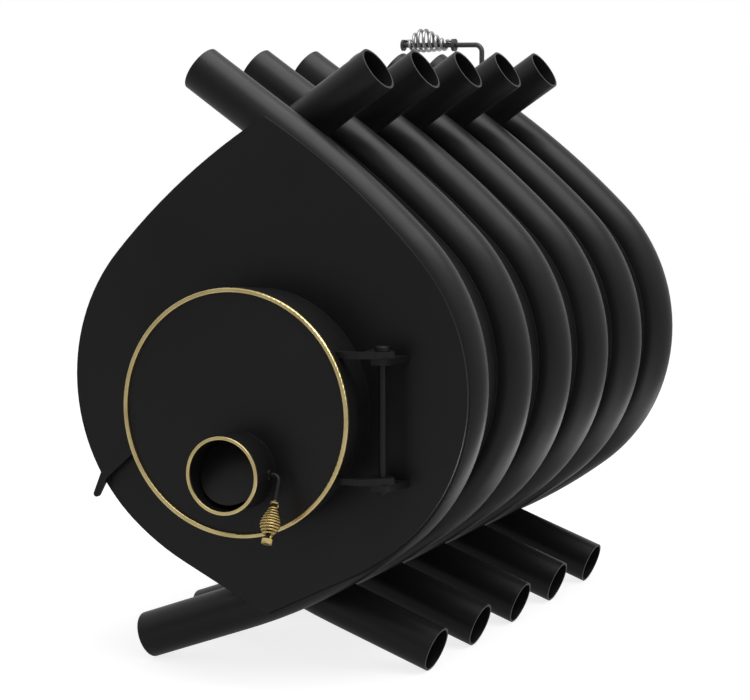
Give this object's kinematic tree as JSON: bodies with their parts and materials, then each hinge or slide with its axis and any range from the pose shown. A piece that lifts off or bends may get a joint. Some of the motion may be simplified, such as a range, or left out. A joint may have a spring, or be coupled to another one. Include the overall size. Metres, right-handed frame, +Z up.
{
  "type": "convection wood stove",
  "caption": "Barrel-shaped convection wood stove of crossing bent air tubes, with a round hinged door, a throttled air intake, a flue outlet with damper and wound-wire handles.",
  "frame": {"origin": "on the floor under the centre of the bounding box: the stove stands on the lower ends of its air tubes at z = 0", "axes": "+Z up; -Y is the door end and +Y the flue end; +X is the door's hinge side"},
  "size_m": [0.5712, 1.1085, 0.8336],
  "materials": {
    "body_paint": "matt black heat-resistant paint on welded steel",
    "gold_trim": "polished gold-coloured trim ring",
    "brass_wire": "brass-plated wound wire",
    "steel_wire": "bright wound steel wire",
    "plain_steel": "plain steel",
    "seal_rope": "woven glass-fibre rope"
  },
  "bodies": {
    "stove_body": {"air_tube_left_1": "body_paint", "air_tube_left_2": "body_paint", "air_tube_left_3": "body_paint", "air_tube_left_4": "body_paint", "air_tube_left_5": "body_paint", "air_tube_right_1": "body_paint", "air_tube_right_2": "body_paint", "air_tube_right_3": "body_paint", "air_tube_right_4": "body_paint", "air_tube_right_5": "body_paint", "air_tube_right_6": "body_paint", "ash_lip": "body_paint", "baffle_rails": "body_paint", "damper_bushes": "plain_steel", "door_collar": "body_paint", "firebox_baffle": "body_paint", "flue_outlet": "body_paint", "front_plate": "body_paint", "hinge_lugs": "body_paint", "hinge_pin": "body_paint", "hinge_pin_clip": "body_paint", "injector_pipes": "body_paint", "latch_catch": "body_paint", "rear_plate": "body_paint", "shell_strip_left_1": "body_paint", "shell_strip_left_2": "body_paint", "shell_strip_left_3": "body_paint", "shell_strip_left_4": "body_paint", "shell_strip_left_5": "body_paint", "shell_strip_left_6": "body_paint", "shell_strip_right_1": "body_paint", "shell_strip_right_2": "body_paint", "shell_strip_right_3": "body_paint", "shell_strip_right_4": "body_paint", "shell_strip_right_5": "body_paint"},
    "door": {"door_pan": "body_paint", "door_trim_ring": "gold_trim", "door_gasket": "seal_rope", "door_heat_shield": "body_paint", "shield_studs": "plain_steel", "shield_nuts": "plain_steel", "air_intake_tube": "body_paint", "intake_trim_ring": "gold_trim", "door_straps": "body_paint", "latch_tab": "body_paint", "latch_bolt": "body_paint", "latch_nut": "body_paint"},
    "latch": {"latch_lever": "body_paint"},
    "throttle": {"throttle_collars": "body_paint", "throttle_disc": "body_paint", "throttle_ferrules": "brass_wire", "throttle_grip": "brass_wire", "throttle_screws": "body_paint", "throttle_shaft": "body_paint"},
    "damper": {"damper_blade": "body_paint", "damper_collar": "body_paint", "damper_grip": "steel_wire", "damper_grip_caps": "body_paint", "damper_screws": "plain_steel", "damper_shaft": "body_paint"}
  },
  "joints": [
    {"name": "door_swing", "type": "hinge", "parent": "stove_body", "child": "door", "pos_m": [0.177, -0.454, 0.34619], "axis": [0, 0, 1], "range_deg": [0, 110]},
    {"name": "throttle_turn", "type": "hinge", "parent": "door", "child": "throttle", "pos_m": [0.0038, -0.511, 0.27629], "axis": [1, 0, 0], "range_deg": [-65, 25]},
    {"name": "latch_turn", "type": "hinge", "parent": "door", "child": "latch", "pos_m": [-0.16155, -0.429, 0.304], "axis": [0, 1, 0], "range_deg": [0, 30]},
    {"name": "damper_turn", "type": "hinge", "parent": "stove_body", "child": "damper", "pos_m": [0, 0.496, 0.57929], "axis": [-1, 0, 0], "range_deg": [0, 90]}
  ]
}
